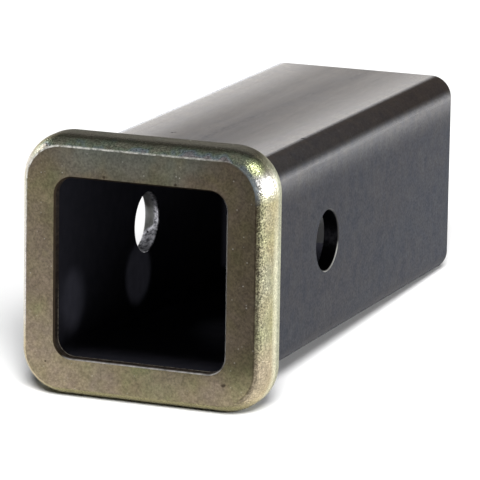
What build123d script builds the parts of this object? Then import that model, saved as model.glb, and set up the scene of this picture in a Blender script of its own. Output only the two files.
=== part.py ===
from build123d import *
from build123d.topology import SkipClean
import os

# Receiver tube for a towing hitch, in millimetres.
# Origin at the centre of the cross-pin hole, on the tube's axis.
# +X runs along the pin, +Y from the collar into the tube, +Z up.

# Square tube
tube_size = 63.5             # across the flats, outside
tube_wall = 4.76             # wall thickness
tube_corner = 6.7            # outside corner radius
overall_length = 177.8       # collar face to the sawn rear end
end_break = 0.4              # edges broken at the sawn ends

# Cross-pin hole
pin_hole = 18.3              # diameter, through both side walls
pin_setback = 68.4           # collar face to the hole's centre
hole_break = 0.4             # countersink round each outer rim

# Forged collar
collar_depth = 15.9          # front face to back face
collar_wall = 6.95           # metal outside the socket, at the crown's widest line
crown_drop = 2.95            # crease of the front face to the widest line, sideways
crown_front = 7.6            # crease of the front face to the widest line, in depth
crown_land = 2.9             # straight stretch along the widest line
crown_back_radius = 8.0      # radius of the crown behind the widest line
crease_radius = 0.6          # rounding of the crease round the front face
back_edge_radius = 1.0       # rounding of the crown's back edge
opening_size = 53.4          # square opening in the lip
opening_corner = 5.4         # corner radius of that opening
opening_break = 0.5          # chamfer round the opening's front edge
lip_thickness = 3.1          # metal in front of the tube's end
socket_clearance = 0.15      # gap between the tube and the collar's socket, each side

# Fillet weld behind the collar
weld_leg_tube = 5.2          # leg along the tube
weld_leg_collar = 4.2        # leg up the collar's back face
weld_crown = 0.8             # height of the bead over its straight chord

# Places that follow from the sizes
tube_half = tube_size / 2
socket_size = tube_size + 2 * socket_clearance
socket_corner = tube_corner + socket_clearance
collar_size = socket_size + 2 * collar_wall
collar_corner = socket_corner + collar_wall
collar_front = -pin_setback
collar_back = collar_front + collar_depth
tube_front = collar_front + lip_thickness
tube_rear = collar_front + overall_length
weld_toe = collar_back + weld_leg_tube

TOUCH = 0.01                 # how near two places count as one


def square_prism(size, corner, start, end):
    """A rounded square, extruded along +Y from start to end."""
    base = Plane(origin=(0, start, 0), x_dir=(1, 0, 0), z_dir=(0, 1, 0))
    return extrude(base * RectangleRounded(size, size, corner), amount=end - start)


def square_ring(section, size, corner):
    """A section drawn on the +X side, swept round a rounded square about the tube's axis."""
    middle = size / 2
    straight = middle - corner
    side = [
        Line((middle, 0), (middle, straight)),
        CenterArc((straight, straight), corner, 0, 90),
        Line((straight, middle), (0, middle)),
    ]
    turns = [Rotation(0, 0, 90 * turn) * edge for turn in range(4) for edge in side]
    upright = Plane(origin=(0, 0, 0), x_dir=(1, 0, 0), z_dir=(0, -1, 0))
    return sweep(section, path=upright * Wire(turns))


def edges_at(solid, place):
    """Edges that lie flat in the plane across the tube at this place."""
    return solid.edges().filter_by(lambda edge: lies_at(edge, place))


def lies_at(edge, place):
    box = edge.bounding_box()
    return abs(box.min.Y - place) < TOUCH and abs(box.max.Y - place) < TOUCH


def near(corner, x, y):
    return abs(corner.X - x) < TOUCH and abs(corner.Y - y) < TOUCH


def make_receiver_tube():
    """The sawn square tube with its cross-pin hole, its end seated behind the collar's lip."""
    bore_size = tube_size - 2 * tube_wall
    bore_corner = tube_corner - tube_wall
    tube = square_prism(tube_size, tube_corner, tube_front, tube_rear)
    tube -= square_prism(bore_size, bore_corner, tube_front, tube_rear)
    tube = chamfer(edges_at(tube, tube_front) + edges_at(tube, tube_rear), length=end_break)
    tube -= Rotation(0, 90, 0) * Cylinder(pin_hole / 2, 2 * tube_size)
    for side in (-1, 1):
        countersink = Cone(pin_hole / 2, pin_hole / 2 + 2 * hole_break, 2 * hole_break)
        tube -= Pos(side * tube_half, 0, 0) * Rotation(0, side * 90, 0) * countersink
    return with_toe_line(tube)


def with_toe_line(tube):
    """The same tube, with a line round it where the weld ends and its free faces begin."""
    across = Plane(origin=(0, weld_toe, 0), x_dir=(1, 0, 0), z_dir=(0, 1, 0))
    seated = split(tube, bisect_by=across, keep=Keep.BOTTOM)
    free = split(tube, bisect_by=across, keep=Keep.TOP)
    with SkipClean():
        return seated + free


def collar_section():
    """The collar's rim: front face, crease, front crown, land, back crown, back face."""
    inner = (tube_size - tube_corner) / 2
    widest = collar_size / 2
    face_edge = widest - crown_drop
    land_start = collar_front + crown_front
    land_end = land_start + crown_land
    crown_radius = (crown_drop**2 + crown_front**2) / (2 * crown_drop)
    back_run = collar_back - land_end
    back_edge = widest - crown_back_radius + (crown_back_radius**2 - back_run**2) ** 0.5
    rim = make_face(
        [
            Line((inner, collar_front), (face_edge, collar_front)),
            RadiusArc((face_edge, collar_front), (widest, land_start), -crown_radius),
            Line((widest, land_start), (widest, land_end)),
            RadiusArc((widest, land_end), (back_edge, collar_back), -crown_back_radius),
            Line((back_edge, collar_back), (inner, collar_back)),
            Line((inner, collar_back), (inner, collar_front)),
        ]
    )
    crease = rim.vertices().filter_by(lambda corner: near(corner, face_edge, collar_front))
    rim = fillet(crease, radius=crease_radius)
    back = rim.vertices().filter_by(lambda corner: near(corner, back_edge, collar_back))
    return fillet(back, radius=back_edge_radius)


def make_collar():
    """The crowned rim swept round the tube, filled in to the opening, with a socket behind."""
    collar = square_ring(collar_section(), collar_size, collar_corner)
    collar += square_prism(tube_size, tube_corner, collar_front, collar_back)
    collar -= square_prism(opening_size, opening_corner, collar_front, collar_back)
    mouth = edges_at(collar, collar_front).filter_by(in_opening)
    collar = chamfer(mouth, length=opening_break)
    return collar - square_prism(socket_size, socket_corner, tube_front, collar_back)


def in_opening(edge):
    middle = edge.center()
    return max(abs(middle.X), abs(middle.Z)) < opening_size / 2 + TOUCH


def make_collar_weld():
    """A bead with a crowned face, laid round the tube against the collar's back face."""
    bead_top = tube_half + weld_leg_collar
    chord = (weld_leg_tube**2 + weld_leg_collar**2) ** 0.5
    crest = (
        tube_half + weld_leg_collar / 2 + weld_crown * weld_leg_tube / chord,
        collar_back + weld_leg_tube / 2 + weld_crown * weld_leg_collar / chord,
    )
    bead = make_face(
        [
            Line((tube_half, collar_back), (bead_top, collar_back)),
            ThreePointArc((bead_top, collar_back), crest, (tube_half, weld_toe)),
            Line((tube_half, weld_toe), (tube_half, collar_back)),
        ]
    )
    return square_ring(bead, tube_size, tube_corner)


nodes = {
    "receiver_tube": make_receiver_tube(),
    "collar": make_collar(),
    "collar_weld": make_collar_weld(),
}

os.makedirs("parts", exist_ok=True)
for name, shape in nodes.items():
    solids = shape.solids()
    solids[0].label = name
    export_step(solids[0], f"parts/{name}.step")
    print(name, "solids", len(solids), "volume", round(shape.volume, 1), "valid", shape.is_valid)
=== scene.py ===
from math import atan2, cos, hypot, pi, radians, sin
from types import SimpleNamespace

import bmesh
import bpy
from mathutils import Matrix, Vector, noise


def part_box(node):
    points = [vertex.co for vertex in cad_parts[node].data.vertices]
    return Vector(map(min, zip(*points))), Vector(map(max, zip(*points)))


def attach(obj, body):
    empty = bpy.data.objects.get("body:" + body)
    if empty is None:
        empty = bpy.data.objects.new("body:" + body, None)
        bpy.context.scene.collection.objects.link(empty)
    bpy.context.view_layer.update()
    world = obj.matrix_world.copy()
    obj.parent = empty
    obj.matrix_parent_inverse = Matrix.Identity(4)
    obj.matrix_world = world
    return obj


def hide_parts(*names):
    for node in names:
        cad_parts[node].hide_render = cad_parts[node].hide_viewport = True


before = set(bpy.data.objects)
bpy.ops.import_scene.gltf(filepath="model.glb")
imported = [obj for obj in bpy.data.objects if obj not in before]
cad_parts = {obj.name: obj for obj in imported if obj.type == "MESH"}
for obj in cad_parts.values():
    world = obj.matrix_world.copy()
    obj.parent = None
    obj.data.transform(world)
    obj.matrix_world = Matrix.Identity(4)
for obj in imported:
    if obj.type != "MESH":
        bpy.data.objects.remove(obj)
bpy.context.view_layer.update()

# Sizes in metres, some of them read from the frame.
# +X runs along the pin, +Y from the collar into the tube, +Z up.
MM = 0.001

# Square tube
tube_low, tube_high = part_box("receiver_tube")
tube_half = tube_high.x
tube_front = tube_low.y
tube_rear = tube_high.y
tube_wall = 4.76 * MM
tube_corner = 6.7 * MM
end_break = 0.4 * MM
bore_half = tube_half - tube_wall
corner_centre = tube_half - tube_corner      # shared by every rounding but the opening's

# Cross-pin hole
hole_radius = 9.15 * MM
hole_break = 0.4 * MM
hole_burr = 0.25 * MM                        # break on the bore side

# Forged collar
collar_low, collar_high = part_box("collar")
collar_half = collar_high.x
collar_front = collar_low.y
collar_back = collar_high.y
crown_drop = 2.95 * MM
crown_front = 7.6 * MM
crown_land = 2.9 * MM
crown_back_radius = 8.0 * MM
crease_radius = 0.45 * MM
back_edge_radius = 1.0 * MM
opening_half = 26.7 * MM
opening_corner = 5.4 * MM
opening_centre = opening_half - opening_corner
opening_break = 0.5 * MM
lip_burr = 0.25 * MM
socket_half = tube_half + 0.15 * MM
face_half = collar_half - crown_drop         # where the front face meets the crease
lip_ring = opening_half + 1.6 * MM           # the lip's corners turn tighter inside this line

# Weld bead behind the collar
weld_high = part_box("collar_weld")[1]
weld_toe = weld_high.y
weld_leg = weld_high.x - tube_half
weld_crown = 0.8 * MM
ripple_pitch = 1.7 * MM
ripple_height = 0.11 * MM
ripple_lag = 1.1 * MM                        # how far the ripples bow along the bead
ripple_wander = 1.05                         # unevenness of the ripples, in radians
swell_height = 0.18 * MM                     # broad lumps along the bead
wander_scale = 300                           # patterns in a metre
swell_scale = 120

# Camera, as it stood for the photograph
camera_place = Vector((0.48465, -1.19692, 0.28267))
camera_yaw = 0.3822
camera_pitch = 0.2177
camera_roll = 0.016
camera_lens = 328.68
sensor_width = 36.0

# Fineness of the meshes
corner_steps = 28                            # steps round a quarter turn
side_steps = 16                              # steps along half a side
sharp_angle = radians(32)                    # edges that turn more than this stay sharp
same_point = 0.002 * MM                      # points nearer than this are one
near = 0.01 * MM                             # how near two places count as one
thin = 0.05 * MM                             # how near a face's middle lies to its surface


# Drawing with points and sweeps

def start_at(bm, x, y):
    return bm.verts.new((x, y, 0))


def line_to(bm, point, x, y, steps=1):
    """A straight run of edges from a point to (x, y)."""
    reach = (Vector((x, y, 0)) - point.co) / steps
    made = bmesh.ops.spin(bm, geom=[point], cent=point.co, axis=(0, 0, 1), dvec=reach, steps=steps)
    return made["geom_last"][0]


def line_through(bm, point, places):
    """Straight runs from a point through places; each is (x, y, steps)."""
    for x, y, steps in places:
        point = line_to(bm, point, x, y, steps)
    return point


def turn_about(bm, point, x, y, angle, steps):
    """An arc of edges from a point, turned about (x, y)."""
    made = bmesh.ops.spin(bm, geom=[point], cent=(x, y, 0), axis=(0, 0, 1), angle=angle, steps=steps)
    return made["geom_last"][0]


def sweep_quarter(bm, section, centre, side=side_steps, corner=corner_steps):
    """Carries a section drawn on the +X side up, round one corner and in to the middle of the top."""
    up = bmesh.ops.spin(
        bm, geom=section, cent=(0, 0, 0), axis=(0, 0, 1), dvec=(0, 0, centre / side), steps=side
    )
    bend = bmesh.ops.spin(
        bm, geom=up["geom_last"], cent=(centre, 0, centre), axis=(0, -1, 0), angle=pi / 2, steps=corner
    )
    inward = (-centre / side, 0, 0)
    bmesh.ops.spin(bm, geom=bend["geom_last"], cent=(0, 0, 0), axis=(0, 0, 1), dvec=inward, steps=side)


def merge_doubles(bm):
    bmesh.ops.remove_doubles(bm, verts=bm.verts[:], dist=same_point)


def four_times(bm):
    """Repeats a quarter round the tube's axis and joins the seams."""
    bmesh.ops.spin(
        bm,
        geom=bm.verts[:] + bm.edges[:] + bm.faces[:],
        cent=(0, 0, 0),
        axis=(0, 1, 0),
        angle=1.5 * pi,
        steps=3,
        use_duplicate=True,
    )
    merge_doubles(bm)


def new_piece(name, bm, materials, sharp_from=None):
    """A finished mesh object: normals out, smooth up to an angle, materials in its slots."""
    bmesh.ops.recalc_face_normals(bm, faces=bm.faces[:])
    mesh = bpy.data.meshes.new(name)
    bm.to_mesh(mesh)
    bm.free()
    for material in materials:
        mesh.materials.append(material)
    mesh.shade_smooth()
    if sharp_from:
        mesh.set_sharp_from_angle(angle=sharp_from)
    piece = bpy.data.objects.new(name, mesh)
    bpy.context.scene.collection.objects.link(piece)
    return piece


# Nodes

usual_noise = (0.3, 0.7)                     # the span that noise mostly keeps to


def feed(tree, node, inputs):
    """Gives a node's inputs their values or links."""
    for name, value in inputs.items():
        if isinstance(value, bpy.types.NodeSocket):
            tree.links.new(value, node.inputs[name])
        else:
            node.inputs[name].default_value = value


def put(tree, kind, inputs=None, **settings):
    """Adds a shader node, sets its properties and feeds its inputs."""
    made = tree.nodes.new("ShaderNode" + kind)
    for name, value in settings.items():
        setattr(made, name, value)
    feed(tree, made, inputs or {})
    return made


def math(tree, operation, first, second=0.0, third=0.0, clamp=False):
    made = put(tree, "Math", {0: first, 1: second, 2: third}, operation=operation, use_clamp=clamp)
    return made.outputs[0]


def plus(tree, first, second):
    return math(tree, "ADD", first, second)


def minus(tree, first, second):
    return math(tree, "SUBTRACT", first, second)


def size_of(tree, value):
    return math(tree, "ABSOLUTE", value)


def times(tree, value, *factors):
    """A value multiplied by each factor in turn."""
    for factor in factors:
        value = math(tree, "MULTIPLY", value, factor)
    return value


def add_share(tree, base, value, share):
    """A base with a share of a value added to it."""
    return math(tree, "MULTIPLY_ADD", value, share, base)


def rgba(colour):
    return (*colour[:3], 1.0)


def blend(tree, factor, first, second, mode="MIX"):
    """One colour over another."""
    colours = []
    for value in (first, second):
        colours.append(value if isinstance(value, bpy.types.NodeSocket) else rgba(value))
    inputs = {0: factor, 6: colours[0], 7: colours[1]}
    return put(tree, "Mix", inputs, data_type="RGBA", blend_type=mode, clamp_factor=True).outputs[2]


def tinted(tree, colour, tint):
    """A colour multiplied all over by a tint or by a level."""
    return blend(tree, 1.0, colour, tint, "MULTIPLY")


def stretch(tree, value, low, high, to_low=0.0, to_high=1.0, smooth=False):
    """A value carried from one span to another, held at the ends."""
    made = put(
        tree,
        "MapRange",
        {"Value": value, "From Min": low, "From Max": high, "To Min": to_low, "To Max": to_high},
        clamp=True,
        interpolation_type="SMOOTHSTEP" if smooth else "LINEAR",
    )
    return made.outputs["Result"]


def vary(tree, pattern, low, high):
    """Noise carried from its usual span to another."""
    return stretch(tree, pattern, *usual_noise, low, high)


def noise_at(tree, scale, detail=2.0, roughness=0.5, stretched=(1, 1, 1), moved=(0, 0, 0)):
    """Noise on the piece's own coordinates, in patterns for each metre."""
    place = put(tree, "TexCoord").outputs["Object"]
    mapped = put(tree, "Mapping", {"Vector": place, "Scale": stretched, "Location": moved})
    made = put(
        tree,
        "TexNoise",
        {"Vector": mapped.outputs["Vector"], "Scale": scale, "Detail": detail, "Roughness": roughness},
    )
    return made.outputs["Fac"]


def own_place(tree):
    """The piece's own coordinates, whole and as X, Y and Z."""
    place = put(tree, "TexCoord").outputs["Object"]
    parts = put(tree, "SeparateXYZ", {0: place}).outputs
    return place, parts["X"], parts["Y"], parts["Z"]


def away_from(tree, place, centre):
    """How far a point lies from a place that is named in millimetres."""
    made = put(tree, "VectorMath", {0: place, 1: [v * MM for v in centre]}, operation="DISTANCE")
    return made.outputs["Value"]


def along_ramp(tree, value, stops):
    """The colour at a value along a run of stops; each is (place, colour)."""
    made = put(tree, "ValToRGB", {"Fac": value})
    ramp = made.color_ramp
    for element, (where, colour) in zip(ramp.elements, (stops[0], stops[-1])):
        element.position, element.color = where, rgba(colour)
    for where, colour in stops[1:-1]:
        ramp.elements.new(where).color = rgba(colour)
    return made.outputs["Color"]


def bumped(tree, height):
    """A normal from a height in millimetres."""
    return put(tree, "Bump", {"Height": height, "Strength": 1.0, "Distance": MM}).outputs["Normal"]


def spaced(values):
    """Sockets by their own names, from names that are written with underscores."""
    return {name.replace("_", " "): value for name, value in values.items()}


def new_group(name, inputs, output, kind):
    """A node group that takes numbers, each with its usual value, and has one output."""
    tree = bpy.data.node_groups.new(name, "ShaderNodeTree")
    for label, value in inputs.items():
        socket = tree.interface.new_socket(label, in_out="INPUT", socket_type="NodeSocketFloat")
        socket.default_value = value
    tree.interface.new_socket(output, in_out="OUTPUT", socket_type="NodeSocket" + kind)
    return tree, tree.nodes.new("NodeGroupInput").outputs, tree.nodes.new("NodeGroupOutput")


def use_group(tree, group, **values):
    """Places a group in a material with the material's own values."""
    return put(tree, "Group", spaced(values), node_tree=group).outputs[0]


def grain_group():
    """Fine raised grain over broad dents, as a normal."""
    usual = {"Grain Scale": 2000.0, "Grain Depth": 0.02, "Dent Scale": 200.0, "Dent Depth": 0.02}
    tree, given, out = new_group("metal_grain", usual, "Normal", "Vector")
    heights = []
    for kind in ("Grain", "Dent"):
        lumps = noise_at(tree, given[kind + " Scale"])
        heights.append(times(tree, lumps, given[kind + " Depth"]))
    feed(tree, out, {"Normal": bumped(tree, plus(tree, *heights))})
    return tree


def line_group():
    """A line where a value passes a place, with gaps made by noise."""
    usual = {"Value": 0.0, "Place": 0.0, "Width": 0.3 * MM, "Scale": 300.0, "Gaps": 0.5}
    tree, given, out = new_group("broken_line", usual, "Mask", "Float")
    away = size_of(tree, minus(tree, given["Value"], given["Place"]))
    share = math(tree, "DIVIDE", away, given["Width"])
    band = stretch(tree, share, 0.6, 1.0, 1.0, 0.0, smooth=True)
    whole = stretch(tree, noise_at(tree, given["Scale"], detail=3.0), 0.35, 0.6)
    lost = times(tree, given["Gaps"], minus(tree, 1.0, whole))
    feed(tree, out, {"Mask": times(tree, band, minus(tree, 1.0, lost))})
    return tree


metal_grain = grain_group()
broken_line = line_group()


def new_material(name, **plain):
    """A material with one Principled shader; plain values are set on its own sockets."""
    material = bpy.data.materials.new(name)
    material.use_nodes = True
    tree = material.node_tree
    shader = tree.nodes["Principled BSDF"]
    feed(tree, shader, spaced(plain))
    return material, tree, shader


# Colours

# The face's tints are shares of its level of lightness
tint_tan = (1.20, 1.00, 0.62)
tint_rose = (1.22, 0.97, 0.71)
tint_olive = (1.08, 1.03, 0.55)
tint_cool = (0.98, 1.06, 0.92)

# Plate on the crown, and what lies on it
plate_glint = (1.0, 0.93, 0.74)
plate_gold = (0.405, 0.355, 0.21)
plate_straw = (0.378, 0.368, 0.265)
# Painted shade: the sage plate darkens the crown's top
plate_sage_shade = (0.17, 0.185, 0.185)
# Painted highlight: pale plate at the crown's top-right corner
plate_corner_highlight = (0.82, 0.80, 0.76)
# Painted reflection: greyer plate down the left flank
plate_flank_reflection = (0.62, 0.61, 0.65)
# Painted glint colour: yellow-green where the top lamp's glint falls
plate_lime_glint = (0.47, 0.51, 0.26)
# Painted shade: the crown's underside
plate_underside_shade = (0.086, 0.084, 0.034)
# Painted shade: the back of the crown's top
plate_top_shade = (0.040, 0.037, 0.032)
# Painted shade: the back of the crown
plate_outer_shade = (0.23, 0.245, 0.20)
plate_green = (0.385, 0.40, 0.22)
plate_rose = (0.445, 0.375, 0.265)
# Painted highlight along a band on the crown's sides
plate_ridge_highlight = (0.64, 0.645, 0.52)
plate_shade = (0, 0, 0)
# Blue-grey at the top of the crease's painted shade line
crease_blue = (0.15, 0.18, 0.20)
film_gold = (0.29, 0.285, 0.19)
film_green = (0.23, 0.29, 0.18)
film_blue = (0.25, 0.33, 0.37)
film_rose = (0.32, 0.28, 0.30)
# Bare metal in flecks, and painted highlights on the crease and the pin holes' outer breaks
bare_metal_and_highlight = (0.74, 0.73, 0.68)

# The opening's rim and the lip behind it
# Painted highlight: the rim's pale metal along the bottom and the right
rim_highlight = (0.96, 0.94, 0.90)
rim_stain = (0.035, 0.026, 0.018)
# Painted shade on the lip wall in dark browns; the darker brown also marks the face and shades the crease
brown_shade_and_mark = (0.020, 0.013, 0.009)
lip_tan_shade = (0.060, 0.042, 0.030)
# Painted highlight on the lip's burred back edge
burr_highlight_metal = (0.42, 0.38, 0.30)

# Drawn tube
steel_glint = (1.0, 0.95, 0.90)
steel_dark = (0.0455, 0.0495, 0.0585)
steel_warm = (0.0515, 0.0525, 0.0585)
# Pale steel for faint scratches and for the painted sheen
steel_scratch_and_sheen = (0.495, 0.512, 0.535)
mottle_cool = (0.84, 0.87, 0.95)
mottle_warm = (1.15, 1.12, 1.08)
top_warmth = (1.05, 0.97, 0.89)
# Dark scale on the roundings, which is also painted shade on the upper ones
corner_scale_and_shade = (0.0248, 0.0230, 0.0225)
corner_brown_and_shade = (0.0212, 0.0178, 0.0160)
# Black for dark marks, and for painted shade in the right-hand pin hole
black_mark_and_shade = (0.0050, 0.0050, 0.0065)
bore_dark = (0.024, 0.024, 0.031)
bore_grey = (0.040, 0.040, 0.052)

# Pin hole, sawn end and weld
torn_dark = (0.13, 0.13, 0.145)
torn_bright = (0.80, 0.80, 0.86)
stain_olive = (0.080, 0.080, 0.074)
stain_grey = (0.165, 0.167, 0.168)
# Painted shade in the right-hand pin hole
hole_shade_dark = (0.018, 0.018, 0.020)
saw_dark = (0.25, 0.245, 0.24)
saw_bright = (0.32, 0.31, 0.30)
heat_brown = (0.24, 0.195, 0.16)
heat_blue = (0.15, 0.165, 0.20)

# Small dark marks, each with its place and radius in millimetres
face_marks = [
    ((26.6, -68.4, -29.6), 0.9),
    ((37.6, -64.0, -26.5), 1.0),
    ((-11.4, -68.4, 27.9), 0.7),
    ((11.0, -68.4, 27.7), 0.6),
    ((-29.5, -68.4, -28.4), 0.5),
    ((-33.0, -66.5, -34.6), 0.9),
]
tube_marks = [
    ((-12.5, -15.8, 31.75), 0.6),
    ((-11.6, -15.4, 31.75), 0.5),
    ((25.9, -6.9, 31.6), 0.9),
    ((31.75, 5.1, -27.0), 0.7),
]
hole_marks = [((-30.0, 7.7, -4.9), 0.45), ((-30.2, 7.0, -6.2), 0.45)]
# The yellow-green patch is a painted glint, where the top lamp's glint falls
lime_glint_place = (34.6, -65.0, 34.8)             # a yellow-green patch on the crown's corner


def spots(tree, place, marks):
    """Soft round marks at named places on a piece, their edges ragged."""
    ragged = noise_at(tree, 1100.0)
    total = 0.0
    for centre, radius in marks:
        away = math(tree, "DIVIDE", away_from(tree, place, centre), radius * MM)
        mark = stretch(tree, plus(tree, away, ragged), 0.9, 1.4, 1.0, 0.0)
        total = math(tree, "MAXIMUM", mark, total)
    return total


# Collar plate

def square_reach(tree, x, z):
    """How far a point lies out from the tube's axis, measured as on a rounded square."""
    across, upward = [minus(tree, size_of(tree, part), corner_centre) for part in (x, z)]
    inside = math(tree, "MINIMUM", math(tree, "MAXIMUM", across, upward), 0.0)
    across, upward = [math(tree, "MAXIMUM", part, 0.0) for part in (across, upward)]
    squares = plus(tree, times(tree, across, across), times(tree, upward, upward))
    return plus(tree, plus(tree, math(tree, "SQRT", squares), inside), corner_centre)


def collar_places(tree):
    """Where a point lies on the collar, as shares from 0 to 1, with its reach and depth in metres."""
    place, x, y, z = own_place(tree)
    reach = square_reach(tree, x, z)
    return SimpleNamespace(
        place=place,
        reach=reach,
        depth=minus(tree, y, collar_front),
        left=stretch(tree, x, collar_half, -collar_half),
        down=stretch(tree, z, collar_half, -collar_half),
        top=stretch(tree, z, 0.80 * collar_half, collar_half),
        crown=stretch(tree, reach, face_half - 0.15 * MM, face_half + 0.2 * MM),
        cloud=noise_at(tree, 60.0, detail=3.0, roughness=0.55),
    )


def face_tone(tree, on):
    """The flat face's tone: how light it is, times a hue that drifts."""
    # Lighter to the left, lightest low down, with a paler patch in the middle of the top
    level = add_share(tree, 0.053, on.left, 0.036)
    level = add_share(tree, level, times(tree, on.left, on.down), 0.19)
    low_band = stretch(tree, on.down, 0.78, 0.95, smooth=True)
    lightened = times(tree, low_band, minus(tree, 1.0, on.left))
    level = add_share(tree, level, lightened, 0.19)
    level = add_share(tree, level, times(tree, lightened, on.left), -0.23)
    drift = vary(tree, noise_at(tree, 34.0, moved=(0, 0, 0.7)), 0.78, 1.05)
    middle = times(tree, stretch(tree, on.left, 0.25, 0.40), stretch(tree, on.left, 0.85, 0.65))
    top_middle = times(tree, stretch(tree, on.down, 0.20, 0.10), middle)
    level = times(tree, level, drift, add_share(tree, 1.0, top_middle, 0.32))

    # Tan, rose and olive, and a cool grey-green along the top
    stops = [(0.34, tint_olive), (0.44, tint_tan), (0.56, tint_rose), (0.66, tint_tan), (0.74, tint_olive)]
    hue = along_ramp(tree, on.cloud, stops)
    cool = stretch(tree, noise_at(tree, 75.0, moved=(0, 0.4, 0)), 0.40, 0.62)
    cool = times(tree, cool, stretch(tree, on.down, 0.22, 0.04, 0.12, 0.9))
    cool = times(tree, cool, stretch(tree, on.left, 0.12, 0.35, 0.25, 1.0))
    cool = times(tree, cool, stretch(tree, on.left, 0.72, 0.90, 1.0, 0.4))
    return tinted(tree, blend(tree, cool, hue, tint_cool), level)


def plated_crown(tree, on):
    """The crown's brighter plate: golden at the sides, grey-green under a thin film on top, with painted
    highlights, a painted reflection, a painted glint and painted shade in it.
    """
    gold = blend(tree, stretch(tree, on.cloud, 0.35, 0.65), plate_gold, plate_straw)
    # Painted highlight: a pale plate at the top-right corner, where the glint lamp's highlight falls
    corner = times(tree, stretch(tree, on.left, 0.10, 0.05), stretch(tree, on.down, 0.19, 0.13))
    corner = times(tree, corner, stretch(tree, on.down, 0.06, 0.10))
    gold = blend(tree, corner, gold, plate_corner_highlight)
    # Painted reflection: a greyer plate down the left flank
    gold = blend(tree, stretch(tree, on.left, 0.90, 0.96), gold, plate_flank_reflection)
    green = stretch(tree, noise_at(tree, 110.0, detail=3.0, moved=(0, 0.9, 0)), 0.42, 0.62)
    gold = blend(tree, times(tree, green, 0.5), gold, plate_green)
    gold = blend(tree, stretch(tree, on.down, 0.68, 0.80), gold, plate_rose)

    # Painted light across the crown's sides, front to back: painted shade behind the crease at the right,
    # a painted highlight along a pale band, then painted shade in a duller plate at the back
    shaded = stretch(tree, on.depth, 0.0, 2.4 * MM, 0.58, 0.18)
    shaded = times(tree, shaded, stretch(tree, on.down, 0.60, 0.85, 1.0, 0.5))
    shaded = times(tree, shaded, stretch(tree, on.left, 0.25, 0.12))
    gold = blend(tree, shaded, gold, plate_shade)
    ridge = stretch(tree, on.depth, 6.0 * MM, 8.2 * MM, 0.0, 0.75)
    ridge = times(tree, ridge, stretch(tree, on.down, 0.20, 0.42, 0.25, 1.0))
    gold = blend(tree, ridge, gold, plate_ridge_highlight)
    gold = blend(tree, stretch(tree, on.depth, 8.9 * MM, 10.4 * MM, 0.0, 0.85), gold, plate_outer_shade)

    # The top in a darker grey-green plate that is partly painted shade, its film, a painted yellow-green
    # glint, and painted shade on the underside
    sooner_shade = times(tree, stretch(tree, on.top, 0.35, 0.70), stretch(tree, on.left, 0.10, 0.20))
    crown = blend(tree, math(tree, "MAXIMUM", on.top, sooner_shade), gold, plate_sage_shade)
    film = noise_at(tree, 150.0, roughness=0.6, moved=(0.3, 0, 0))
    film = plus(tree, film, stretch(tree, on.reach, face_half, collar_half, -0.10, 0.16))
    stops = [(0.34, film_rose), (0.42, film_blue), (0.52, film_green), (0.62, film_gold)]
    crown = blend(tree, stretch(tree, on.top, 0.0, 0.7, 0.0, 0.6), crown, along_ramp(tree, film, stops))
    # Painted glint: a yellow-green patch where the top lamp's glint falls
    lime_glint = away_from(tree, on.place, lime_glint_place)
    lime_glint = stretch(tree, lime_glint, 1.5 * MM, 4.2 * MM, 1.0, 0.0, smooth=True)
    crown = blend(tree, times(tree, lime_glint, 0.85), crown, plate_lime_glint)
    # Painted shade on the underside
    underside_shade = stretch(tree, on.down, 0.93, 0.975)
    return blend(tree, times(tree, underside_shade, 0.95), crown, plate_underside_shade)


def mottled_plate(tree, on, colour):
    """Fine mottle all over, and on the crown coarse dark pits and painted glints on bright grains."""
    mottle = vary(tree, noise_at(tree, 1500.0, roughness=0.6), 0.73, 1.27)
    blotch = vary(tree, noise_at(tree, 330.0, detail=3.0, moved=(0.1, 0, 0)), 0.90, 1.10)
    colour = tinted(tree, colour, times(tree, mottle, blotch))
    by_crease = stretch(tree, on.reach, face_half + 1.3 * MM, collar_half - 0.7 * MM, 1.0, 0.30)
    by_crease = times(tree, by_crease, stretch(tree, on.left, 0.86, 0.95, 1.0, 0.1))
    by_crease = times(tree, by_crease, stretch(tree, on.top, 0.0, 0.8, 1.0, 0.45))
    by_crease = times(tree, by_crease, stretch(tree, on.down, 0.45, 0.9, 1.0, 0.3))
    # The crown's bright grains are painted glints; its dark grains are pits
    pitted = noise_at(tree, 1900.0, roughness=0.6, moved=(0, 0, 0.2))
    pits_and_glints = add_share(tree, 1.0, stretch(tree, pitted, 0.38, 0.60, -0.66, 0.95), by_crease)
    return blend(tree, on.crown, colour, tinted(tree, colour, pits_and_glints))


def flecked_plate(tree, on, colour):
    """A few bright flecks and dark marks."""
    cells = put(tree, "TexVoronoi", {"Vector": on.place, "Scale": 900.0}).outputs
    flecks = stretch(tree, cells["Distance"], 0.12, 0.26, 1.0, 0.0)
    chosen = stretch(tree, put(tree, "SeparateColor", {0: cells["Color"]}).outputs[0], 0.88, 0.96)
    colour = blend(tree, times(tree, flecks, chosen, 0.20), colour, bare_metal_and_highlight)
    return blend(tree, times(tree, spots(tree, on.place, face_marks), 0.75), colour, brown_shade_and_mark)


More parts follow.
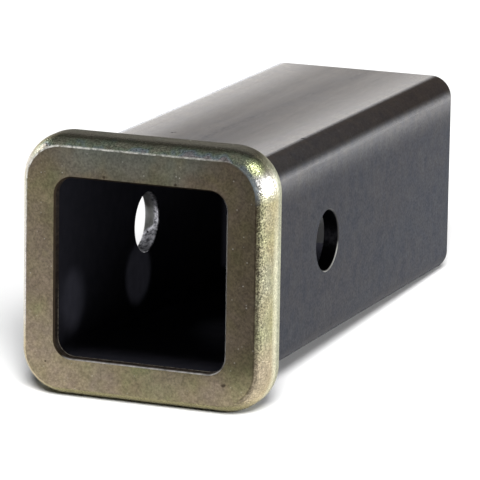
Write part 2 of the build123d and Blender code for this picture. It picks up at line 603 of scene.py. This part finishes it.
def crease_highlight_and_shade(tree, on, colour):
    """The crease: a painted highlight along the top, with a painted shade line down the right."""
    crease = {"Value": on.reach, "Place": face_half, "Width": 0.36 * MM}
    crease = use_group(tree, broken_line, Scale=800.0, Gaps=0.85, **crease)
    # Painted highlight along the top of the crease
    shine_share = times(tree, stretch(tree, on.down, 0.42, 0.16), stretch(tree, on.left, 0.14, 0.27))
    shine_share = times(tree, crease, shine_share, stretch(tree, on.left, 0.3, 0.75, 0.5, 0.9))
    colour = blend(tree, shine_share, colour, bare_metal_and_highlight)
    # Painted shade: a dark line in the crease down the right, blue-grey at its top
    shade_line = {"Value": on.reach, "Place": face_half + 0.2 * MM, "Width": 0.75 * MM}
    shade_line = use_group(tree, broken_line, Scale=900.0, Gaps=0.6, **shade_line)
    crease_shade = times(tree, shade_line, stretch(tree, on.left, 0.14, 0.09))
    crease_shade = times(tree, crease_shade, stretch(tree, on.down, 0.3, 0.8, 1.0, 0.6), 0.85)
    shade_colour = blend(tree, stretch(tree, on.down, 0.13, 0.20), crease_blue, brown_shade_and_mark)
    return blend(tree, crease_shade, colour, shade_colour)


def plated_collar():
    """Satin yellow zinc plate: toned on the flat face, brighter and coarser on the crown, with painted
    highlights and painted shade on the crown and its crease.
    """
    material, tree, shader = new_material(
        "collar_plate", Specular_IOR_Level=0.0, Specular_Tint=rgba(plate_glint)
    )
    on = collar_places(tree)
    colour = blend(tree, on.crown, face_tone(tree, on), plated_crown(tree, on))
    colour = mottled_plate(tree, on, colour)

    # Painted shade darkens the top of the crown towards its back, and takes the metal's shine from it
    # there
    top_shade = times(tree, stretch(tree, on.depth, 3 * MM, 6.2 * MM), stretch(tree, on.top, 0.55, 1.0))
    colour = blend(tree, stretch(tree, top_shade, 0.0, 0.45, 0.0, 0.95), colour, plate_top_shade)
    metal = stretch(tree, top_shade, 0.25, 1.0, 1.0, 0.12)
    colour = crease_highlight_and_shade(tree, on, flecked_plate(tree, on, colour))

    # Satin on the face, sharper on the front of the crown, dull towards its back
    rough = vary(tree, noise_at(tree, 900.0), 0.30, 0.42)
    sharper = stretch(tree, on.crown, 0, 1, 0.0, -0.10)
    duller = stretch(tree, on.depth, 8 * MM, 13 * MM, 0.0, 0.28)
    rough = plus(tree, rough, plus(tree, sharper, duller))
    normal = use_group(
        tree,
        metal_grain,
        Grain_Scale=1700.0,
        Grain_Depth=stretch(tree, on.crown, 0, 1, 0.03, 0.11),
        Dent_Scale=420.0,
        Dent_Depth=stretch(tree, on.crown, 0, 1, 0.03, 0.10),
    )
    feed(tree, shader, {"Base Color": colour, "Metallic": metal, "Roughness": rough, "Normal": normal})
    return material


def opening_rim():
    """The opening's broken edge: dark with stains, and pale metal along the bottom and the right that is
    wear and painted highlight together.
    """
    material, tree, shader = new_material("opening_rim", Metallic=1.0)
    _, x, y, z = own_place(tree)
    # Painted highlight: pale metal from wear along the bottom and the right of the rim
    low = stretch(tree, z, -0.90 * opening_half, -0.97 * opening_half)
    low = times(tree, low, stretch(tree, x, -0.92 * opening_half, -0.80 * opening_half))
    low = times(tree, low, stretch(tree, y, collar_front + 0.38 * MM, collar_front + 0.22 * MM, 0.12, 1.0))
    worn_and_highlit = math(tree, "MAXIMUM", low, stretch(tree, x, 0.96 * opening_half, opening_half))
    patches = stretch(tree, noise_at(tree, 420.0, detail=3.0), 0.38, 0.66)
    worn_and_highlit = times(tree, worn_and_highlit, stretch(tree, patches, 0, 1, 0.40, 1.0))
    colour = blend(tree, worn_and_highlit, rim_stain, rim_highlight)
    feed(tree, shader, {"Base Color": colour, "Roughness": stretch(tree, patches, 0, 1, 0.45, 0.28)})
    return material


def lip_wall():
    """The lip's sheared inner wall in dark browns of painted shade, with a painted highlight where its
    back edge is burred, low down.
    """
    material, tree, shader = new_material("lip_wall", Metallic=0.3, Specular_IOR_Level=0.3)
    _, _, y, z = own_place(tree)
    streaks = noise_at(tree, 700.0, detail=3.0, stretched=(1, 0.2, 1))
    # Painted shade: the wall in dark browns
    colour = blend(tree, stretch(tree, streaks, 0.4, 0.75), brown_shade_and_mark, lip_tan_shade)
    # Painted highlight: a bright line by the back edge, low down
    burr = {"Value": y, "Place": tube_front - 0.35 * MM, "Width": 0.4 * MM}
    burr = use_group(tree, broken_line, Scale=900.0, Gaps=1.0, **burr)
    burr = times(tree, burr, stretch(tree, z, -4 * MM, -10 * MM))
    colour = blend(tree, burr, colour, burr_highlight_metal)
    rough = vary(tree, streaks, 0.65, 0.5)
    normal = use_group(tree, metal_grain, Grain_Scale=1500.0, Grain_Depth=0.05)
    feed(tree, shader, {"Base Color": colour, "Roughness": rough, "Normal": normal})
    return material


# Tube steel

def sheen_bands(tree, across, upward, on_top):
    """Painted sheen: on the top towards both long edges, on the sides in a line under each rounding."""
    to_right = math(tree, "POWER", stretch(tree, across, 6 * MM, corner_centre), 1.6)
    ending = stretch(tree, across, corner_centre, corner_centre + 1.6 * MM, 0.62, 0)
    to_left = math(tree, "POWER", stretch(tree, across, -7 * MM, -28 * MM), 1.4)
    top_sheen = times(tree, on_top, plus(tree, times(tree, to_right, ending), to_left))
    to_edge = math(tree, "POWER", stretch(tree, upward, 15 * MM, corner_centre), 2.0)
    fading = stretch(tree, upward, corner_centre + 0.5 * MM, corner_centre + 3 * MM, 0.38, 0)
    on_side = stretch(tree, size_of(tree, across), tube_half - 3 * MM, tube_half - 1 * MM)
    return plus(tree, top_sheen, times(tree, to_edge, fading, on_side))


def drawn_tube():
    """Mill-finish steel: dark scale on the roundings, laid on heavier at the upper ones as painted shade,
    and a painted sheen on the flats towards them.
    """
    material, tree, shader = new_material(
        "drawn_steel", Specular_IOR_Level=0.0, Specular_Tint=rgba(steel_glint)
    )
    place, across, along, upward = own_place(tree)
    streak = noise_at(tree, 420.0, detail=4.0, roughness=0.6, stretched=(1, 0.035, 1))
    fibre = noise_at(tree, 900.0, detail=3.0, roughness=0.6, stretched=(1, 0.12, 1))
    cloud = noise_at(tree, 30.0, detail=4.0, roughness=0.6, stretched=(1, 0.5, 1))
    speck = noise_at(tree, 1500.0)
    on_top = stretch(tree, upward, tube_half - 0.9 * MM, tube_half - 0.2 * MM)
    sheen = times(tree, sheen_bands(tree, across, upward, on_top), vary(tree, streak, 0.85, 1.15))

    # Dark scale on the roundings, browner towards the rear, and heavier on the upper roundings as painted
    # shade
    least = math(tree, "MINIMUM", size_of(tree, across), size_of(tree, upward))
    rounding = stretch(tree, least, corner_centre + 0.3 * MM, corner_centre + 2 * MM)
    rounding = times(tree, rounding, stretch(tree, upward, -corner_centre, corner_centre, 0.15, 1.0))
    colour = blend(tree, stretch(tree, cloud, 0.35, 0.65), steel_dark, steel_warm)
    colour = tinted(tree, colour, stretch(tree, along, 0, tube_rear, 1.0, 1.14))
    browned = blend(tree, stretch(tree, along, -20 * MM, 80 * MM), corner_scale_and_shade, corner_brown_and_shade)
    colour = blend(tree, rounding, colour, browned)
    # Painted sheen: pale steel along the bands where the flats meet the roundings
    colour = blend(tree, math(tree, "POWER", sheen, 1.5), colour, steel_scratch_and_sheen)

    # Mottle and specks, a warmer middle to the top, faint scratches and a few dark marks
    mottle = noise_at(tree, 230.0, detail=4.0, roughness=0.65)
    colour = tinted(tree, colour, blend(tree, vary(tree, mottle, 0, 1), mottle_cool, mottle_warm))
    colour = tinted(tree, colour, vary(tree, speck, 0.80, 1.20))
    warmer = times(tree, on_top, stretch(tree, along, 100 * MM, -30 * MM, 0.5, 1.0))
    warmer = times(tree, warmer, stretch(tree, sheen, 0.0, 0.35, 1.0, 0.0))
    colour = blend(tree, warmer, colour, top_warmth, "MULTIPLY")
    scratch = stretch(tree, noise_at(tree, 700.0, detail=1.0, stretched=(1, 1, 0.10)), 0.64, 0.76)
    colour = blend(tree, times(tree, scratch, 0.014), colour, steel_scratch_and_sheen)
    marks = spots(tree, place, tube_marks)
    colour = blend(tree, marks, colour, black_mark_and_shade)

    # The top shines more towards the rear, less in a scuff along its middle and on a slanted score
    scuff = size_of(tree, minus(tree, across, 2 * MM))
    scuff = stretch(tree, scuff, 1.5 * MM, 7 * MM, 1.0, 0.0, smooth=True)
    scuff = times(tree, scuff, stretch(tree, fibre, 0.25, 0.75))
    strokes = noise_at(tree, 2000.0, detail=3.0, roughness=0.65, stretched=(1, 0.16, 1))
    score = size_of(tree, minus(tree, across, add_share(tree, -0.3 * MM, along, 0.047)))
    score = stretch(tree, score, 0.3 * MM, 2.6 * MM, 1.0, 0.0, smooth=True)
    score = times(tree, score, stretch(tree, strokes, 0.47, 0.60))
    shine_share = stretch(tree, along, tube_front, tube_rear, -0.09, 0.23)
    shine_share = plus(tree, vary(tree, fibre, 0.32, 0.42), shine_share)
    shine_share = minus(tree, shine_share, times(tree, scuff, 0.12))
    shine_share = minus(tree, shine_share, times(tree, score, 0.16))
    metal = add_share(tree, 0.14, on_top, shine_share)
    metal = add_share(tree, metal, stretch(tree, sheen, 0.0, 0.6), minus(tree, 1.0, metal))
    metal = times(tree, metal, minus(tree, 1.0, times(tree, rounding, 0.8)))
    metal = math(tree, "MULTIPLY", metal, minus(tree, 1.0, marks), clamp=True)

    rough = plus(tree, vary(tree, cloud, 0.17, 0.21), vary(tree, streak, -0.02, 0.02))
    rough = plus(tree, rough, times(tree, scuff, 0.05))
    rough = minus(tree, rough, times(tree, rounding, 0.05))
    normal = bumped(tree, plus(tree, times(tree, streak, 0.006), times(tree, speck, 0.004)))
    feed(tree, shader, {"Base Color": colour, "Metallic": metal, "Roughness": rough, "Normal": normal})
    return material


def tube_bore():
    """The bore's black mill scale, with painted shade that darkens it beyond the pin hole."""
    material, tree, shader = new_material("bore_scale", Specular_IOR_Level=0.0)
    _, _, along, _ = own_place(tree)
    scale = noise_at(tree, 260.0, detail=4.0)
    colour = blend(tree, scale, bore_dark, bore_grey)
    # Painted shade: darker deeper in the bore, beyond the pin hole
    colour = tinted(tree, colour, stretch(tree, along, 25 * MM, 60 * MM, 1.0, 0.45))
    feed(tree, shader, {"Base Color": colour, "Roughness": vary(tree, scale, 0.8, 0.95)})
    return material


def drilled_wall():
    """The pin hole's wall: smooth with stains, torn bright by the bore, with a painted highlight on the
    bright outer break and painted shade in the right-hand hole.
    """
    material, tree, shader = new_material("drilled_steel", Metallic=1.0)
    place, x, y, z = own_place(tree)
    depth = size_of(tree, x)
    mottle = noise_at(tree, 750.0, detail=4.0, roughness=0.65)

    # The torn metal ends in a ragged line that runs further out low down
    line = stretch(tree, z, -2.5 * MM, -5.6 * MM, bore_half + 1.5 * MM, bore_half + 5.2 * MM)
    beyond = minus(tree, plus(tree, depth, vary(tree, mottle, -0.6 * MM, 0.6 * MM)), line)
    torn = stretch(tree, beyond, 0.4 * MM, -0.4 * MM)
    metal = blend(tree, stretch(tree, mottle, 0.38, 0.60), torn_dark, torn_bright)
    metal = tinted(tree, metal, stretch(tree, z, 4 * MM, -2 * MM, 0.5, 1.0))
    metal = tinted(tree, metal, stretch(tree, beyond, -0.5 * MM, -1.7 * MM, 1.0, 0.62))
    streaked = noise_at(tree, 500.0, detail=3.0, stretched=(1, 1, 0.3))
    smooth = blend(tree, stretch(tree, streaked, 0.35, 0.65), stain_olive, stain_grey)
    colour = blend(tree, torn, smooth, metal)
    colour = blend(tree, spots(tree, place, hole_marks), colour, black_mark_and_shade)

    # Painted shade: the right-hand hole's wall is near black
    hole_shade = blend(tree, stretch(tree, mottle, 0.4, 0.7), black_mark_and_shade, hole_shade_dark)
    colour = blend(tree, stretch(tree, x, -1 * MM, 1 * MM), colour, hole_shade)

    # Painted highlight: the outer break is bright low down, on its rear half
    broken = stretch(tree, depth, tube_half - 0.30 * MM, tube_half - 0.22 * MM)
    bright = stretch(tree, z, -2.0 * MM, -4.5 * MM, 0.06, 0.72)
    bright = times(tree, bright, stretch(tree, y, -3.5 * MM, -2 * MM, 0.06, 1.0))
    colour = blend(tree, times(tree, broken, bright), colour, bare_metal_and_highlight)
    normal = bumped(tree, times(tree, mottle, torn, 0.10, minus(tree, 1.0, broken)))
    rough = vary(tree, mottle, 0.46, 0.32)
    feed(tree, shader, {"Base Color": colour, "Roughness": rough, "Normal": normal})
    return material


def sawn_end():
    """The sawn end: bright steel with fine straight saw marks."""
    material, tree, shader = new_material("sawn_steel", Metallic=0.9)
    marks = noise_at(tree, 1900.0, detail=3.0, stretched=(0.05, 1, 1))
    colour = blend(tree, stretch(tree, marks, 0.35, 0.65), saw_dark, saw_bright)
    rough = vary(tree, marks, 0.42, 0.30)
    normal = bumped(tree, times(tree, marks, 0.05))
    feed(tree, shader, {"Base Color": colour, "Roughness": rough, "Normal": normal})
    return material


def weld_bead():
    """Bare weld metal, brown and blue from its own heat."""
    material, tree, shader = new_material("weld_metal", Metallic=0.6)
    heat = noise_at(tree, 160.0, detail=3.0)
    colour = blend(tree, stretch(tree, heat, 0.35, 0.65), heat_brown, heat_blue)
    rough = vary(tree, heat, 0.38, 0.55)
    normal = use_group(tree, metal_grain, Grain_Scale=2600.0, Grain_Depth=0.03)
    feed(tree, shader, {"Base Color": colour, "Roughness": rough, "Normal": normal})
    return material


# Pieces

def assign(bm, slot_of):
    """Gives every face its material slot."""
    bm.normal_update()
    for face in bm.faces:
        face.material_index = slot_of(face)


def round_corners(bm, corners, radius, segments):
    """Fills in a closed section, rounds the named corners and leaves its outline."""
    bmesh.ops.contextual_create(bm, geom=bm.edges[:])
    bmesh.ops.bevel(
        bm,
        geom=corners,
        offset=radius,
        offset_type="OFFSET",
        segments=segments,
        profile=0.5,
        affect="VERTICES",
        material=-1,
    )
    bmesh.ops.delete(bm, geom=bm.faces[:], context="FACES_ONLY")


def corners_at(bm, x, y):
    return [v for v in bm.verts if abs(v.co.x - x) < near and abs(v.co.y - y) < near]


def widen_corners(verts, centre_from, centre_to):
    """Carries swept points from one corner centre to another, their flats where they are."""
    for vert in verts:
        x, z = abs(vert.co.x), abs(vert.co.z)
        half = centre_from + hypot(max(x - centre_from, 0), max(z - centre_from, 0))
        grown = (half - centre_to) / (half - centre_from)
        for axis in ("x", "z"):
            value = getattr(vert.co, axis)
            size = abs(value)
            if size > centre_from:
                size = centre_to + (size - centre_from) * grown
            else:
                size = size * centre_to / centre_from
            setattr(vert.co, axis, size if value > 0 else -size)


def make_collar():
    """The crowned rim, its flat face and lip, and the socket behind, as one swept section."""
    bm = bmesh.new()
    crown_radius = (crown_drop**2 + crown_front**2) / (2 * crown_drop)
    crown_angle = 2 * atan2(crown_drop, crown_front)
    land_start = collar_front + crown_front
    land_end = land_start + crown_land
    back_run = collar_back - land_end
    back_reach = (crown_back_radius**2 - back_run**2) ** 0.5
    back_edge = collar_half - crown_back_radius + back_reach
    mouth = (opening_half, collar_front + opening_break)
    face = [(opening_half + opening_break, collar_front, 1), (lip_ring, collar_front, 1)]
    point = line_through(bm, start_at(bm, *mouth), face + [(face_half, collar_front, 4)])
    point = turn_about(bm, point, collar_half - crown_radius, land_start, crown_angle, 18)
    point = line_to(bm, point, collar_half, land_end, steps=3)
    turn = atan2(back_run, back_reach)
    point = turn_about(bm, point, collar_half - crown_back_radius, land_end, turn, 12)
    socket = [(socket_half, collar_back, 3), (socket_half, tube_front, 2)]
    lip = [(lip_ring, tube_front, 1), (opening_half + lip_burr, tube_front, 1)]
    line_through(bm, point, socket + lip + [(opening_half, tube_front - lip_burr, 1), (*mouth, 3)])
    merge_doubles(bm)
    round_corners(bm, corners_at(bm, face_half, collar_front), crease_radius, 3)
    round_corners(bm, corners_at(bm, back_edge, collar_back), back_edge_radius, 4)
    sweep_quarter(bm, bm.verts[:] + bm.edges[:], corner_centre)
    lip = [v for v in bm.verts if swept_half(v.co) < lip_ring - near]
    widen_corners(lip, corner_centre, opening_centre)
    four_times(bm)

    plate, rim, wall = range(3)

    def slot_of(face):
        centre = face.calc_center_median()
        depth = centre.y - collar_front
        reach = max(abs(centre.x), abs(centre.z))
        if reach < opening_half + opening_break and thin < depth < opening_break:
            return rim
        if depth > opening_break and reach < opening_half + lip_burr:
            return wall
        return plate

    assign(bm, slot_of)
    return new_piece("collar_plated", bm, [plated_collar(), opening_rim(), lip_wall()], sharp_angle)


def swept_half(point):
    """Half the size of the rounded square that a point lies on."""
    across = max(abs(point.x) - corner_centre, 0)
    upward = max(abs(point.z) - corner_centre, 0)
    return corner_centre + hypot(across, upward)


def make_tube():
    """The drawn square tube with sawn ends and a drilled hole through both sides."""
    tube = bmesh.new()
    patch = 10 * corner_centre / side_steps      # half the square that is redrawn round each hole
    wall = [
        (tube_half - end_break, tube_front, 2),
        (tube_half, tube_front + end_break, 1),
        (tube_half, weld_toe, 3),
        (tube_half, -patch, 12),
        (tube_half, patch, 20),
        (tube_half, tube_rear - end_break, 30),
        (tube_half - end_break, tube_rear, 1),
        (bore_half, tube_rear, 2),
        (bore_half, patch, 12),
        (bore_half, -patch, 20),
        (bore_half, tube_front, 6),
    ]
    line_through(tube, start_at(tube, bore_half, tube_front), wall)
    merge_doubles(tube)
    sweep_quarter(tube, tube.verts[:] + tube.edges[:], corner_centre)
    four_times(tube)

    for side in (-1, 1):
        cut_pin_hole(tube, side, patch)

    skin, bore, drilled, sawn = range(4)

    def slot_of(face):
        centre = face.calc_center_median()
        at_end = centre.y < tube_front + end_break or centre.y > tube_rear - end_break
        if hypot(centre.y, centre.z) < hole_radius + hole_break and abs(face.normal.x) < 0.9:
            return drilled
        if at_end and abs(face.normal.y) > 0.5:
            return sawn
        return bore if is_bore(centre) else skin

    assign(tube, slot_of)
    slots = [drawn_tube(), tube_bore(), drilled_wall(), sawn_end()]
    return new_piece("receiver_tube_steel", tube, slots, sharp_angle)


def is_bore(point):
    return swept_half(point) < bore_half + 0.3 * MM


def cut_pin_hole(bm, side, patch):
    """Opens a square patch in both skins of one side wall and draws its rims in to a drilled hole."""
    rims = []
    for half, radii in (
        (tube_half, [(0, hole_radius + hole_break), (hole_break, hole_radius)]),
        (bore_half, [(0, hole_radius + hole_burr), (-hole_burr, hole_radius)]),
    ):
        faces = []
        for face in bm.faces:
            centre = face.calc_center_median()
            flat = abs(centre.x - side * half) < thin
            if flat and abs(centre.y) < patch and abs(centre.z) < patch:
                faces.append(face)
        edges = dict.fromkeys(edge for face in faces for edge in face.edges)
        rim = [edge for edge in edges if on_patch_rim(edge, patch)]
        bmesh.ops.delete(bm, geom=faces, context="FACES")
        for inward, radius in radii:
            made = bmesh.ops.extrude_edge_only(bm, edges=rim)["geom"]
            rim = [g for g in made if isinstance(g, bmesh.types.BMEdge)]
            for vert in [g for g in made if isinstance(g, bmesh.types.BMVert)]:
                turn = rim_turn(vert.co, patch)
                vert.co = (side * (half - inward), radius * cos(turn), radius * sin(turn))
        rims.append(rim)

    # The drilled wall, from the outer skin's rim to the inner skin's
    made = bmesh.ops.extrude_edge_only(bm, edges=rims[0])["geom"]
    for vert in [g for g in made if isinstance(g, bmesh.types.BMVert)]:
        vert.co.x = side * (bore_half + hole_burr)
    merge_doubles(bm)


def on_patch_rim(edge, patch):
    """True for an edge along the patch's own outline."""
    for axis in ("y", "z"):
        places = [getattr(v.co, axis) for v in edge.verts]
        if all(abs(abs(place) - patch) < near for place in places):
            return places[0] * places[1] > 0
    return False


def rim_turn(point, patch):
    """The angle round the pin at which a point of the patch's rim, or of a ring inside it, belongs."""
    if max(abs(point.y), abs(point.z)) < patch - near:
        return atan2(point.z, point.y)
    if abs(point.y) > abs(point.z):
        turn = point.z / patch * pi / 4
        return turn if point.y > 0 else pi - turn
    turn = point.y / patch * pi / 4
    return pi / 2 - turn if point.z > 0 else turn - pi / 2


def make_weld():
    """One rippled fillet bead laid round the tube against the collar's back."""
    bead = bmesh.new()
    bead_top = tube_half + weld_leg
    chord = hypot(weld_toe - collar_back, weld_leg)
    bulge = (chord**2 / 4 + weld_crown**2) / (2 * weld_crown)
    middle = Vector(((bead_top + tube_half) / 2, (collar_back + weld_toe) / 2, 0))
    inward = Vector((-(weld_toe - collar_back), -weld_leg, 0)).normalized()
    centre = middle + inward * (bulge - weld_crown)
    spread = 2 * atan2(chord / 2, bulge - weld_crown)
    point = start_at(bead, bead_top, collar_back)
    point = turn_about(bead, point, centre.x, centre.y, spread, 8)
    line_through(bead, point, [(tube_half, collar_back, 1), (bead_top, collar_back, 1)])
    merge_doubles(bead)
    sweep_quarter(bead, bead.verts[:] + bead.edges[:], corner_centre, side=84, corner=60)
    four_times(bead)
    bead.normal_update()
    for vert in bead.verts:
        if vert.co.y < collar_back + near or is_seat(vert.co):
            continue
        share = (vert.co.y - collar_back) / (weld_toe - collar_back)
        along = path_length(vert.co) - ripple_lag * (1 - (2 * share - 1) ** 2)
        wander = ripple_wander * noise.noise(vert.co * wander_scale)
        height = ripple_height * sin(2 * pi * along / ripple_pitch + wander)
        swell = swell_height * noise.noise(vert.co * swell_scale)
        fading = min(1.0, 6 * share * (1 - share))
        vert.co += vert.normal * (height + swell - ripple_height) * fading
    return new_piece("collar_weld_bead", bead, [weld_bead()])


def is_seat(point):
    return swept_half(point) < tube_half + 0.02 * MM


def path_length(point):
    """How far round the tube a point lies, measured on the tube's skin."""
    quarter = round(atan2(point.z, point.x) / (pi / 2))
    cosine, sine = cos(quarter * pi / 2), sin(quarter * pi / 2)
    x = point.x * cosine + point.z * sine
    z = point.z * cosine - point.x * sine
    straight = min(max(z, -corner_centre), corner_centre)
    bend = atan2(max(abs(z) - corner_centre, 0), x - corner_centre) * tube_corner
    around = straight + (bend if z > 0 else -bend)
    side_length = 2 * corner_centre + tube_corner * pi / 2
    return quarter * side_length + around


# Studio

floor_half = 4.0
floor_white = (0.88, 0.88, 0.88)
ambient = (0.05, 0.05, 0.05)
lamp_distance = 1.6
level_view = (-0.37, 0.93, 0)                # the way the camera looks, level with the floor

# The studio's brightness at heights above the horizon, in degrees
seen_around = [(0, 1.0), (16.5, 1.0), (35, 0.62), (60, 0.45), (90, 0.42)]
seen_behind = [(0, 1.0), (16.5, 1.0), (19.5, 0.17), (52, 0.11), (66, 0.36), (90, 0.42)]


def make_floor():
    """A pale floor under the collar's lower rim and the tube's rear edge."""
    rest_y = collar_front + crown_front + crown_land
    tilt = atan2(collar_half - tube_half, tube_rear - rest_y)
    bm = bmesh.new()
    turned = Matrix.Translation((0, rest_y, -collar_half)) @ Matrix.Rotation(tilt, 4, "X")
    bmesh.ops.create_grid(bm, x_segments=1, y_segments=1, size=floor_half, matrix=turned)
    mesh = bpy.data.meshes.new("floor")
    bm.to_mesh(mesh)
    bm.free()
    plain = {"Base_Color": rgba(floor_white), "Roughness": 1.0, "Specular_IOR_Level": 0.0}
    mesh.materials.append(new_material("floor_white", **plain)[0])
    floor = bpy.data.objects.new("floor", mesh)
    bpy.context.scene.collection.objects.link(floor)
    return floor


def make_world():
    """Faint even light, and a studio that only the camera and reflections see.

    It is white up to a little over the horizon. Above, it is grey, and on the side that the camera
    faces a dark band lies between the white and the grey.
    """
    world = bpy.data.worlds.new("studio")
    bpy.context.scene.world = world
    world.use_nodes = True
    tree = world.node_tree
    tree.nodes.clear()
    facing = put(tree, "TexCoord").outputs["Generated"]
    height = put(tree, "SeparateXYZ", {0: facing}).outputs["Z"]
    shades = []
    for levels in (seen_around, seen_behind):
        stops = [(sin(radians(rise)), (level,) * 3) for rise, level in levels]
        shades.append(along_ramp(tree, height, stops))
    behind = put(tree, "VectorMath", {0: facing, 1: level_view}, operation="DOT_PRODUCT")
    behind = stretch(tree, behind.outputs["Value"], 0.25, 0.55, smooth=True)
    shade = blend(tree, behind, *shades)
    path = put(tree, "LightPath").outputs
    seen = math(tree, "MAXIMUM", path["Is Camera Ray"], path["Is Glossy Ray"])
    seen = math(tree, "MAXIMUM", seen, path["Is Transmission Ray"])
    colour = blend(tree, seen, ambient, shade)
    background = put(tree, "Background", {"Color": colour, "Strength": 1.0})
    put(tree, "OutputWorld", {"Surface": background.outputs[0]})


def place_light(name, light, away, distance, lit):
    """Aims a light at the right-hand pin hole, to light only the pieces it is given."""
    placed = bpy.data.objects.new(name, light)
    placed.rotation_euler = away.to_track_quat("Z", "Y").to_euler()
    placed.location = Vector((tube_half, 0, 0)) + away * distance
    bpy.context.scene.collection.objects.link(placed)
    placed.light_linking.receiver_collection = lit
    return placed


def add_lamp(name, direction, width, height, power, lit):
    """A flat lamp that stands in one direction."""
    light = bpy.data.lights.new(name, "AREA")
    light.shape = "RECTANGLE"
    light.size, light.size_y = width, height
    light.energy = power
    return place_light(name, light, Vector(direction).normalized(), lamp_distance, lit)


def add_sun(name, azimuth, elevation, spread, strength, lit):
    """A broad soft light from one direction, on the floor alone or on the object alone."""
    light = bpy.data.lights.new(name, "SUN")
    light.angle = radians(spread)
    light.energy = strength
    turn, rise = radians(azimuth), radians(elevation)
    away = Vector((sin(turn) * cos(rise), -cos(turn) * cos(rise), sin(rise)))
    return place_light(name, light, away, 0, lit)


def make_camera():
    """The photograph's own view: its place, its aim and its long lens."""
    data = bpy.data.cameras.new("camera")
    data.lens = camera_lens
    data.sensor_width = sensor_width
    data.clip_start, data.clip_end = 0.05, 50.0
    camera = bpy.data.objects.new("camera", data)
    aim = Matrix.Rotation(camera_yaw, 4, "Z") @ Matrix.Rotation(pi / 2 - camera_pitch, 4, "X")
    camera.matrix_world = Matrix.Translation(camera_place) @ aim @ Matrix.Rotation(camera_roll, 4, "Z")
    bpy.context.scene.collection.objects.link(camera)
    bpy.context.scene.camera = camera


# The dressed object

dressed = [
    (make_tube(), "receiver_tube", "tube_steel"),
    (make_collar(), "collar", "collar_zinc"),
    (make_weld(), "collar_weld", "weld_metal"),
]
for piece, node, finish in dressed:
    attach(piece, "root")
    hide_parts(node)

make_world()
lit_floor = bpy.data.collections.new("lit_floor")
lit_floor.objects.link(make_floor())
lit_pieces = bpy.data.collections.new("lit_pieces")
lit_collar = bpy.data.collections.new("lit_collar")
for piece, node, finish in dressed:
    lit_pieces.objects.link(piece)
    if node == "collar":
        lit_collar.objects.link(piece)

# Two lamps light the object and leave no glint, and three show only as glints on the collar
for name, direction, size, power in (
    ("lamp_side", (0.961, 0.111, 0.253), 0.09, 6.3),
    ("lamp_back", (0.705, 0.691, 0.160), 0.09, 14.0),
):
    add_lamp(name, direction, size, size, power, lit_pieces).visible_glossy = False
for name, direction, width, height, power in (
    ("lamp_glint", (0.86, 0.48, 0.15), 1.05, 0.10, 21.0),
    ("lamp_left", (-0.86, 0.31, 0.42), 0.5, 0.4, 3.2),
    ("lamp_top", (0.57, 0.24, 0.77), 0.20, 0.20, 3.2),
):
    add_lamp(name, direction, width, height, power, lit_collar).visible_diffuse = False

# The floor's own key light casts the object's shadow, and the fills light the object
add_sun("key", azimuth=24, elevation=38, spread=22, strength=5.5, lit=lit_floor)
add_sun("low_key", azimuth=50, elevation=21, spread=12, strength=1.6, lit=lit_floor)
for name, azimuth, elevation, strength in (
    ("fill_top", 0, 90, 3.0),
    ("fill_left", -112, 20, 2.6),
    ("fill_back", 172, 65, 2.2),
):
    add_sun(name, azimuth, elevation, spread=40, strength=strength, lit=lit_pieces).visible_glossy = False
make_camera()
bpy.context.scene.view_settings.view_transform = "Standard"
